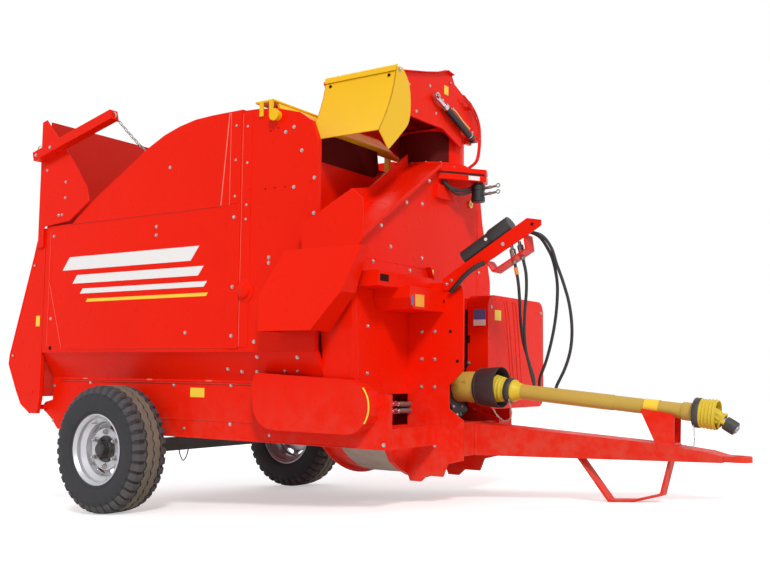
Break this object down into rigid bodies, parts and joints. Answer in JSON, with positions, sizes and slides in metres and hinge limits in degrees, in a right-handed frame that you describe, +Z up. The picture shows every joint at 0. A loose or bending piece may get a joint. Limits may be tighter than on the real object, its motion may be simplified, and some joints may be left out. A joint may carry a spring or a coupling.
{
  "type": "trailed straw chopper",
  "caption": "Trailed straw chopper with bale hopper, drop tailgate, shredding rotor, fan casing, swivelling discharge chute, side chute, guarded power shaft and drawbar with loop skid.",
  "frame": {"origin": "middle of the bounding box's base, on the floor the machine is parked on", "axes": "+X forward to the towing eye, +Y to the machine's left, +Z up; the machine is stored parked nose-down on its skid, so its deck slopes by 4.3 degrees"},
  "size_m": [4.617, 2.012, 2.5988],
  "materials": {
    "red_paint": "glossy orange-red paint",
    "yellow_paint": "glossy yellow paint",
    "yellow_guard": "ochre moulded plastic guard",
    "black_paint": "satin black paint",
    "black_plastic": "moulded black plastic",
    "tyre": "dusty implement tyre",
    "silver_rim": "silver wheel paint",
    "bare_steel": "worn bare steel",
    "chrome_rod": "polished rod",
    "rubber_hose": "black rubber hydraulic hose"
  },
  "bodies": {
    "machine": {"arch_sheet_left": "red_paint", "arch_sheet_right": "red_paint", "axle_beam": "black_paint", "bale_restrictor": "yellow_paint", "bed_conveyor": "bare_steel", "bulkhead": "red_paint", "chamber_side_left": "red_paint", "chamber_side_right": "red_paint", "document_tube": "black_plastic", "drawbar": "red_paint", "drive_cover": "red_paint", "fan_casing": "bare_steel", "front_beam": "red_paint", "front_wall": "red_paint", "headstock_plate_left": "red_paint", "headstock_plate_right": "red_paint", "hopper_floor": "red_paint", "hopper_side_left": "red_paint", "hopper_side_right": "red_paint", "hose_bracket": "red_paint", "hose_coupler_inner": "chrome_rod", "hose_coupler_outer": "chrome_rod", "hose_inner": "rubber_hose", "hose_outer": "rubber_hose", "input_gearbox": "black_paint", "input_guard": "yellow_guard", "loop_skid": "red_paint", "rail_left": "red_paint", "rail_right": "red_paint", "rotor_drive_guard": "red_paint", "shaft_cradle": "red_paint", "side_chute_hood": "red_paint", "side_chute_trough": "red_paint", "towing_eye": "red_paint", "turn_motor": "black_paint", "turret_ring": "red_paint"},
    "wheel_right": {"tyre_right": "tyre", "rim_right": "silver_rim", "hub_right": "black_paint"},
    "wheel_left": {"tyre_left": "tyre", "rim_left": "silver_rim", "hub_left": "black_paint"},
    "rotor": {"shredding_rotor": "black_paint"},
    "tailgate": {"tailgate_back": "red_paint", "tailgate_panel": "red_paint", "tailgate_side_left": "red_paint", "tailgate_side_right": "red_paint", "retaining_chain": "bare_steel"},
    "turret": {"chute_elbow": "red_paint"},
    "hood": {"chute_hood": "red_paint"},
    "flap": {"chute_flap": "yellow_paint"},
    "cylinder_barrel": {"cylinder_barrel": "black_paint"},
    "cylinder_rod": {"cylinder_rod": "chrome_rod"},
    "power_shaft": {"power_shaft": "yellow_guard"}
  },
  "joints": [
    {"name": "wheel_right_spin", "type": "hinge", "parent": "machine", "child": "wheel_right", "pos_m": [-1.18884, -0.876, 0.38], "axis": [0, 1, 0], "continuous": true},
    {"name": "wheel_left_spin", "type": "hinge", "parent": "machine", "child": "wheel_left", "pos_m": [-1.18884, 0.876, 0.38], "axis": [0, 1, 0], "continuous": true},
    {"name": "rotor_spin", "type": "hinge", "parent": "machine", "child": "rotor", "pos_m": [-0.13777, 0, 1.22373], "axis": [0, 1, 0], "continuous": true},
    {"name": "tailgate_hinge", "type": "hinge", "parent": "machine", "child": "tailgate", "pos_m": [-2.02997, 0, 0.66372], "axis": [0, -1, 0], "range_deg": [0, 105]},
    {"name": "chute_turn", "type": "hinge", "parent": "machine", "child": "turret", "pos_m": [0.43514, 0.36, 2.00305], "axis": [0.0748, 0, 0.9972], "range_deg": [0, 180]},
    {"name": "chute_tilt", "type": "hinge", "parent": "turret", "child": "hood", "pos_m": [0.47329, 0.19, 2.51162], "axis": [-0.9972, 0, 0.0748], "range_deg": [0, 35]},
    {"name": "flap_tilt", "type": "hinge", "parent": "hood", "child": "flap", "pos_m": [0.46723, -0.406, 2.43085], "axis": [-0.9972, 0, 0.0748], "range_deg": [0, 50]},
    {"name": "cylinder_swing", "type": "hinge", "parent": "turret", "child": "cylinder_barrel", "pos_m": [0.70875, 0.43, 2.1881], "axis": [-0.9972, 0, 0.0748], "range_deg": [0, 12]},
    {"name": "cylinder_stroke", "type": "slide", "parent": "cylinder_barrel", "child": "cylinder_rod", "axis": [0.026, -0.9379, 0.346], "range_m": [0, 0.108]},
    {"name": "shaft_lift", "type": "hinge", "parent": "machine", "child": "power_shaft", "pos_m": [0.89524, 0, 0.62376], "axis": [0, -1, 0], "range_deg": [0, 20]}
  ],
  "couplings": [
    {"joint": "cylinder_swing", "follows": "chute_tilt", "ratio": 0.336},
    {"joint": "cylinder_stroke", "follows": "chute_tilt", "m_per_rad": 0.1743}
  ]
}
